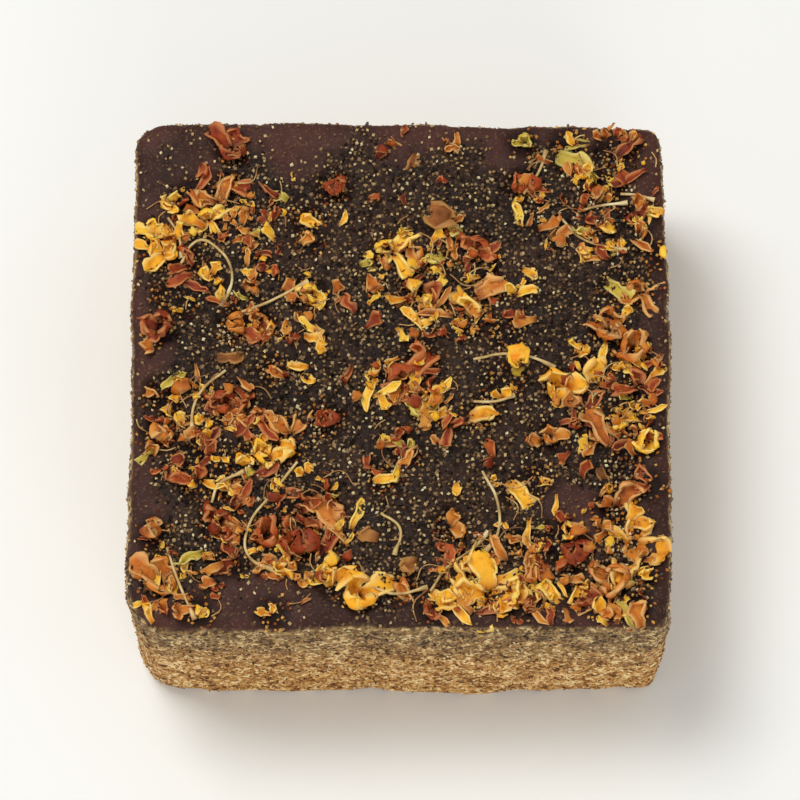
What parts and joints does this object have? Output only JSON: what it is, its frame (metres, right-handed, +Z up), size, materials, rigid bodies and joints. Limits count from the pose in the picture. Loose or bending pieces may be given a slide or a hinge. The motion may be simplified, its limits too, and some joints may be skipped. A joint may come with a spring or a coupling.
{
  "type": "jaggery block",
  "caption": "Square hand-cut block of dark jaggery with dried osmanthus blossoms set into its top face; it rests on its flat base.",
  "frame": {"origin": "centre of the flat base", "axes": "+Z is up through the flower side, -Y is the front, and the worn, rounder upright corner is at -X and -Y"},
  "size_m": [0.04, 0.04, 0.018],
  "materials": {
    "set_jaggery": "dry, granular set sugar: plum brown and near black on top, sandy tan on the cut sides",
    "osmanthus_petal": "dried, shrivelled blossom, from golden yellow to brick red, matt with a faint sugar gloss",
    "osmanthus_stalk": "thin dried stalk, pale straw, matt",
    "sugar_grain": "loose crumbs and crystals of tan sugar, slightly glassy"
  },
  "bodies": {
    "root": {"sugar_block": "set_jaggery"}
  },
  "joints": []
}
